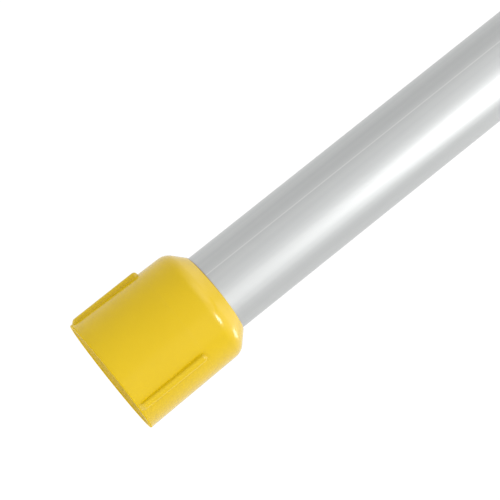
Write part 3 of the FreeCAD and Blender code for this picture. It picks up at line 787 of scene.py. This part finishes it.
def hem_scallops(s, turn):
    """The hem hangs back between the split rings, and creases fan out from each eyelet."""
    past_ring = RINGS * (turn - FIRST_RING)
    near_mouth = math.exp(-s / (38 * MM))
    lobe = -1.5 * (0.5 - 0.5 * math.cos(past_ring)) * near_mouth
    return lobe + 0.55 * near_mouth * math.cos(3 * past_ring) * smoothstep(0, 20 * MM, s)


def hoop_pull(s):
    """The cloth is drawn tight over the rear hoop and slack on both sides of it."""
    off_hoop = abs(s - REAR_HOOP)
    return -1.0 * smoothstep(6 * MM, 40 * MM, off_hoop) * math.exp(-off_hoop / (90 * MM))


def bend_creases(s, turn):
    """The inside of the bend is short of room, so it buckles in cross creases."""
    under = smoothstep(0.1, 0.95, -math.cos(turn))
    bending = smoothstep(LEVEL_LENGTH - 50 * MM, LEVEL_LENGTH + 90 * MM, s)
    phase = s / (46 * MM) + 0.9 * wander(math.sin(turn) * 2.2, s * 6, 5.0)
    crease = abs(math.sin(math.pi * phase))
    return under * bending * (0.8 * crease - 3.6 * (1 - crease) ** 1.6)


def billow(s, turn):
    """How far the wind, the seams and the bend move the cloth off the plain cone, in metres."""
    wide, deep = math.cos(turn), math.sin(turn)
    along = s / SOCK_LENGTH
    loose = smoothstep(0.30, 1.0, along)
    flap = smoothstep(0.55, 1.0, along)
    move = hem_scallops(s, turn) + hoop_pull(s) + bend_creases(s, turn)

    # Long soft folds, more of them where nothing inside holds the cloth.
    folds = wander(wide * 1.7 + 3.1, deep * 1.7, s * 5)
    ripples = wander(wide * 5, deep * 5, s * 9 + 7.7)
    move += folds * (0.9 + 5.5 * loose) + ripples * (0.35 + 2.2 * loose)

    # Wind runs down the free part as travelling ripples that grow to the tail.
    move += 3.4 * flap * math.sin(3 * turn + s * 34 + 1.3 * folds)
    move += 1.6 * flap * math.sin(5 * turn - s * 52 + 2.0 * ripples)

    # Every seam is a firm line that puckers the cloth beside it.
    for i, seam in enumerate(SEAMS):
        off = abs(s - seam)
        if off > 60 * MM:
            continue
        gather = math.exp(-((off / (16 * MM)) ** 2))
        pucker = 1.1 * wander(wide * 17, deep * 17, i * 3.3)
        fade = math.exp(-off / (15 * MM)) * smoothstep(1 * MM, 9 * MM, off)
        move = move * (1 - 0.35 * gather) + pucker * fade - 0.25 * gather
    return move * MM


def sway(s):
    """The free end swings a little to the side."""
    free = max(s - LEVEL_LENGTH, 0) / (SOCK_LENGTH - LEVEL_LENGTH)
    return 7 * MM * free * free * math.sin(2.4 * free + 0.4)


def on_sock(s, turn, lift=0.0):
    """A point of the cloth, lifted off its middle surface."""
    centre, up = sock_frame(s)
    out = up * math.cos(turn) + Vector((0, math.sin(turn), 0))
    radius = cone_radius(s) - CLOTH_INSET + billow(s, turn) + lift
    return centre + out * radius + Vector((0, sway(s), 0))


def cloth_piece(name, path, thickness, material, columns):
    """Cloth round the whole sock that follows (length, lift) steps, with UVs in metres."""
    mesh = bpy.data.meshes.new(name)
    work = bmesh.new()
    layer = work.loops.layers.uv.new("UVMap")
    rows = []
    for s, lift in path:
        rows.append([work.verts.new(on_sock(s, turn, lift)) for turn in even_turns(columns)])
    girth = 2 * math.pi * cone_radius(path[len(path) // 2][0])
    run = [0.0]
    for (s, lift), (s_next, lift_next) in zip(path, path[1:]):
        run.append(run[-1] + math.hypot(s_next - s, lift_next - lift))
    for j in range(len(rows) - 1):
        for i in range(columns):
            after = (i + 1) % columns
            face = work.faces.new((rows[j][i], rows[j + 1][i], rows[j + 1][after], rows[j][after]))
            face.smooth = True
            spots = ((i, j), (i, j + 1), (i + 1, j + 1), (i + 1, j))
            for loop, (column, row) in zip(face.loops, spots):
                loop[layer].uv = (girth * column / columns, run[row])
    work.to_mesh(mesh)
    work.free()
    mesh.materials.append(material)
    piece = bpy.data.objects.new(name, mesh)
    scene.collection.objects.link(piece)
    shell = piece.modifiers.new("thickness", "SOLIDIFY")
    shell.thickness = thickness
    shell.offset = 0
    applied(piece)
    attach(piece, "head")
    return piece


def steps(start, end, pitch):
    """Even steps from start to end, about a pitch apart."""
    count = max(int(round(abs(end - start) / pitch)), 1)
    return [start + (end - start) * i / count for i in range(count + 1)]


def stitches(name, rows):
    """Rows of lockstitch: one short thread after another, each row at (length, lift)."""
    pitch = 3.4 * MM
    length = 2.5 * MM
    sides = 5
    uneven = 0.15
    sections = ((0.0, 0.45), (0.2, 0.95), (0.5, 1.15), (0.8, 0.95), (1.0, 0.45))
    vertices, faces = [], []
    for s, lift in rows:
        count = int(2 * math.pi * cone_radius(s) / pitch)
        for k in range(count):
            turn = 2 * math.pi * (k + uneven * math.sin(k * 1.7)) / count
            half = length / 2 / cone_radius(s)
            ends = [on_sock(s, turn + half * side, lift) for side in (-1, 0, 1)]
            direction = (ends[2] - ends[0]).normalized()
            out = (ends[1] - sock_frame(s)[0]).normalized()
            side_way = direction.cross(out).normalized()
            rise = side_way.cross(direction)
            first = len(vertices)
            for share, fat in sections:
                middle = ends[0].lerp(ends[2], share) + rise * THREAD_RADIUS * (fat - 0.9)
                vertices += ring_of_points(middle, side_way, rise, THREAD_RADIUS * fat, sides)
            faces += wire_faces(first, len(sections), sides)
    return add_object(name, vertices, faces, THREAD, "head", 80)


def sock():
    """Five tapered bands of cloth; each but the first laps over the one before it."""
    between = CLOTH * 1.12
    over_lap = between * 1.45
    for i in range(BANDS):
        start, end = SEAMS[i], SEAMS[i + 1]
        path = []
        if i:
            path = [(s, between) for s in steps(start - SEAM_LAP, start + SEAM_LAP, 2.5 * MM)]
            path.append((start + SEAM_LAP + 1 * MM, between * 0.5))
            first = start + SEAM_LAP + 2 * MM
        else:
            first = CLOTH_START
        last = end + SEAM_LAP if i < BANDS - 1 else CLOTH_END
        path += [(s, 0.0) for s in steps(first, last, 2.6 * MM)]
        slot = ("orange_cloth", "white_cloth")[i % 2]
        piece = cloth_piece(f"cloth_band_{i + 1}", path, CLOTH, SLOT_MATERIALS[slot], CLOTH_COLUMNS)
        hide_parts(f"sock_band_{i + 1}")
        if i:
            rows = [(start - 3.2 * MM, over_lap), (start + 3.2 * MM, over_lap)]
            stitches(f"seam_thread_{i}", rows)


def folded_hem(name, node, start, end, edge, lift):
    """A tape folded over one end of the cloth: one leg outside, one inside."""
    far, inward = (end, 1) if edge == start else (start, -1)
    fold = edge + inward * lift
    legs = steps(far, fold, 2.5 * MM)
    path = [(s, lift) for s in legs]
    for step in range(1, 6):
        bend = math.pi / 6 * step
        path.append((edge + inward * lift * (1 - math.sin(bend)), lift * math.cos(bend)))
    path += [(s, -lift) for s in reversed(legs)]
    piece = cloth_piece(name, path, TAPE_THICKNESS, TAPE, TAPE_COLUMNS)
    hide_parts(node)
    return piece, (2 * math.pi * cone_radius((start + end) / 2), 2 * abs(end - start))


def hems():
    """The mouth's hem with its eyelet holes, and the tail's, each sewn down."""
    lift = (CLOTH + TAPE_THICKNESS) / 2 + 0.1 * MM
    thread_lift = lift + TAPE_THICKNESS / 2 + 0.05 * MM
    hem, flat = folded_hem("mouth_hem", "sock_hem", 0, HEM, 0, lift)
    cut_by(hem, eyelet_pins())
    rows = [(CLOTH_START, thread_lift), (HEM - 3 * MM, thread_lift), (HEM - 6 * MM, thread_lift)]
    sewn = stitches("mouth_hem_thread", rows)

    start = SOCK_LENGTH - TAIL_HEM
    tail, flat = folded_hem("tail_fold", "tail_hem", start, SOCK_LENGTH, SOCK_LENGTH, lift)
    sewn = stitches("tail_hem_thread", [(start + 3 * MM, thread_lift)])


# ---------------------------------------------------------------- rings and eyelets

EYELET_FROM_EDGE = 5 * MM
EYELET_RADIUS = 5 * MM
EYELET_HOLE = 2.8 * MM
RING_RADIUS = 9 * MM
# Out from the pole along X, and out from the sock's centre line.
RING_CENTRE = Vector((66.2 * MM, 122 * MM))


def ring_turns():
    return [FIRST_RING + 2 * math.pi * i / RINGS for i in range(RINGS)]


def eyelet_frame(turn):
    """Centre of an eyelet, and its axis straight out through the hem."""
    ahead = on_sock(EYELET_FROM_EDGE + 2 * MM, turn)
    behind = on_sock(EYELET_FROM_EDGE - 2 * MM, turn)
    across = Vector((0, math.cos(turn), -math.sin(turn)))
    axis = across.cross(ahead - behind).normalized()
    if axis.dot(Vector((0, math.sin(turn), math.cos(turn)))) < 0:
        axis.negate()
    return on_sock(EYELET_FROM_EDGE, turn), axis


def placed(vertices, centre, axis):
    """Turns the vertices' Z to an axis and moves them to a centre."""
    turn = UP.rotation_difference(axis).to_matrix()
    return [centre + turn @ Vector(v) for v in vertices]


def eyelet_pins():
    """The cutter that punches the eyelets' holes."""
    poses = []
    for turn in ring_turns():
        centre, axis = eyelet_frame(turn)
        poses.append(Matrix.Translation(centre) @ UP.rotation_difference(axis).to_matrix().to_4x4())
    return pins(poses, EYELET_HOLE * 1.2, 12 * MM, 24)


def grommets():
    """Rolled brass eyelets, set through the hem: a barrel between two flanges with rolled lips."""
    half = 1.7 * MM
    flange = 0.35 * MM
    roll = 0.5 * MM
    barrel = EYELET_HOLE + 0.4 * MM
    crest = EYELET_RADIUS - 1.2 * MM
    lower = [
        (EYELET_HOLE, -half - 0.1 * MM, roll),
        (crest, -half - 0.55 * MM, roll),
        (EYELET_RADIUS, -half, 0.25 * MM),
        (EYELET_RADIUS, -half + flange, 0.1 * MM),
        (barrel, -half + flange, 0.1 * MM),
    ]
    upper = [(radius, -height, rounding) for radius, height, rounding in reversed(lower)]
    outline = rounded_outline(lower + upper, 3)
    vertices, faces = [], []
    for turn in ring_turns():
        centre, axis = eyelet_frame(turn)
        ring_vertices, ring_faces = lathe(outline, even_turns(40))
        base = len(vertices)
        vertices += placed(ring_vertices, centre, axis)
        faces += [tuple(base + index for index in face) for face in ring_faces]
    piece = add_object("grommets", vertices, faces, BRASS, "head", 50)
    outward(piece.data)
    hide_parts("eyelets")
    return piece


def wire_along(points, radius, sides):
    """Points round each step of a wire's centre line, without a twist from one to the next."""
    vertices = []
    side_way = None
    for i, point in enumerate(points):
        ahead = (points[min(i + 1, len(points) - 1)] - points[max(i - 1, 0)]).normalized()
        if side_way is None:
            side_way = ahead.orthogonal().normalized()
        side_way = (side_way - ahead * side_way.dot(ahead)).normalized()
        vertices += ring_of_points(point, side_way, ahead.cross(side_way), radius, sides)
    return vertices


def split_rings():
    """Double-turn split rings that link the hem's eyelets to the hoop."""
    wire = 0.85 * MM
    coils = 2
    samples = 96
    sides = 12
    vertices, faces = [], []
    for i, turn in enumerate(ring_turns()):
        forward = Vector((1, 0, 0))
        out = Vector((0, math.sin(turn), math.cos(turn)))
        side = Vector((0, math.cos(turn), -math.sin(turn)))
        centre = Vector((RING_CENTRE.x, 0, SOCK_HEIGHT)) + out * RING_CENTRE.y
        start = 2.4 + 1.9 * math.sin(i * 2.3)
        points = []
        for k in range(samples + 1):
            share = k / samples
            angle = start + 2 * math.pi * coils * share
            round_way = forward * math.cos(angle) + out * math.sin(angle)
            step_over = smoothstep(0.46, 0.54, share) * 2 - 1
            points.append(centre + round_way * RING_RADIUS + side * step_over * wire * 1.02)
        faces += wire_faces(len(vertices), len(points), sides)
        vertices += wire_along(points, wire, sides)
    piece = add_object("split_ring_wires", vertices, faces, STEEL, "head", 50)
    outward(piece.data)
    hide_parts("split_rings")


set_eyelets = grommets()
split_rings()
sock()
hems()


# ---------------------------------------------------------------- stage


def aim(thing, place, target, roll=0.0):
    """Puts a camera or light at a place, turned to look at a target."""
    thing.rotation_mode = "QUATERNION"
    thing.location = place
    look = (Vector(target) - Vector(place)).to_track_quat("-Z", "Y")
    thing.rotation_quaternion = look @ Quaternion((0, 0, 1), roll)


def softbox(name, direction, distance, size, power, target=(0, 0, 70 * MM)):
    """A soft area light of a width and height that isn't seen itself."""
    data = bpy.data.lights.new(name, "AREA")
    data.shape = "RECTANGLE"
    data.size, data.size_y = size
    data.energy = power
    lamp = bpy.data.objects.new(name, data)
    scene.collection.objects.link(lamp)
    lamp.visible_camera = False
    aim(lamp, Vector(target) + Vector(direction).normalized() * distance, target)


# The camera looks at the collar from a little below, rolled so that the pole leans to the right.
CAMERA_TURN = math.radians(-40)
CAMERA_TILT = math.radians(-7.984)
CAMERA_ROLL = math.radians(51.45)
CAMERA_LENS = 144
CAMERA_DISTANCE = 0.8653
CAMERA_TARGET = Vector((-0.0034, -0.0040, 0.0812))

TO_CAMERA = Vector((math.cos(CAMERA_TURN), math.sin(CAMERA_TURN), 0))
TO_SIDE = UP.cross(TO_CAMERA)


def camera():
    data = bpy.data.cameras.new("camera")
    data.lens = CAMERA_LENS
    made = bpy.data.objects.new("camera", data)
    scene.collection.objects.link(made)
    away = TO_CAMERA * math.cos(CAMERA_TILT) + UP * math.sin(CAMERA_TILT)
    aim(made, CAMERA_TARGET + away * CAMERA_DISTANCE, CAMERA_TARGET, CAMERA_ROLL)
    scene.camera = made


def from_foot(front, side, up):
    """A direction from the collar: towards the camera, to the picture's lower right, up the pole."""
    return TO_CAMERA * front + TO_SIDE * side + UP * up


def facing(tree, direction, start, end, amount):
    """A smooth patch of the surroundings, which grows to an amount in one direction."""
    place = tree.nodes.new("ShaderNodeTexCoord")
    towards = tree.nodes.new("ShaderNodeVectorMath")
    towards.operation = "DOT_PRODUCT"
    tree.links.new(place.outputs["Generated"], towards.inputs[0])
    towards.inputs[1].default_value = Vector(direction).normalized()
    spread = tree.nodes.new("ShaderNodeMapRange")
    spread.interpolation_type = "SMOOTHSTEP"
    tree.links.new(towards.outputs["Value"], spread.inputs["Value"])
    spread.inputs["From Min"].default_value = start
    spread.inputs["From Max"].default_value = end
    spread.inputs["To Max"].default_value = amount
    return spread.outputs["Result"]


def surroundings():
    """White walls for the camera; for the lighting, a soft room that is brightest up the pole."""
    world = bpy.data.worlds.new("studio")
    scene.world = world
    world.use_nodes = True
    tree = world.node_tree
    for old in list(tree.nodes):
        tree.nodes.remove(old)

    def background(strength):
        made = tree.nodes.new("ShaderNodeBackground")
        made.inputs["Color"].default_value = (1, 1, 1, 1)
        made.inputs["Strength"].default_value = strength
        return made

    level = 0.55
    strength = None
    for patch in (
        facing(tree, from_foot(0.25, 0.05, 0.97), 0.25, 1.0, 1.0),
        facing(tree, from_foot(0.88, -0.47, 0.1), 0.75, 0.98, -0.03),
        facing(tree, from_foot(-1, 0, 0), -0.3, 0.9, 0.34),
    ):
        total = tree.nodes.new("ShaderNodeMath")
        total.inputs[0].default_value = level
        if strength:
            tree.links.new(strength, total.inputs[0])
        tree.links.new(patch, total.inputs[1])
        strength = total.outputs[0]
    lighting = background(0)
    tree.links.new(strength, lighting.inputs["Strength"])

    path = tree.nodes.new("ShaderNodeLightPath")
    mix = tree.nodes.new("ShaderNodeMixShader")
    out = tree.nodes.new("ShaderNodeOutputWorld")
    tree.links.new(path.outputs["Is Camera Ray"], mix.inputs["Fac"])
    tree.links.new(lighting.outputs["Background"], mix.inputs[1])
    tree.links.new(background(1.05).outputs["Background"], mix.inputs[2])
    tree.links.new(mix.outputs["Shader"], out.inputs["Surface"])


def floor():
    """A wide pale floor below the collar."""
    half = 30
    level = -0.3
    material = Nodes("floor")
    material.set(
        Base_Color=(0.8, 0.8, 0.8, 1),
        Roughness=0.9,
        Emission_Color=(1, 1, 1, 1),
        Emission_Strength=0.1,
    )
    mesh = bpy.data.meshes.new("floor")
    corners = ((-half, -half), (half, -half), (half, half), (-half, half))
    mesh.from_pydata([(x, y, level) for x, y in corners], [], [(0, 1, 2, 3)])
    mesh.materials.append(material.material)
    made = bpy.data.objects.new("floor", mesh)
    scene.collection.objects.link(made)


def lights():
    softbox("key", from_foot(0.76, 0.65, 0.12), 1.2, (1.05, 1.2), 0.9)
    softbox("shoulder_light", from_foot(0.593, 0.593, 0.545), 1.3, (0.4, 0.3), 6.4)
    softbox("rim_light", from_foot(-0.466, 0.597, 0.653), 0.9, (0.26, 0.17), 0.9)
    softbox("sock_light", (0.25, -0.8, 0.55), 3.2, (3.0, 3.0), 16, (0.5, 0, 1.7))


camera()
surroundings()
floor()
lights()
scene.view_settings.view_transform = "Standard"
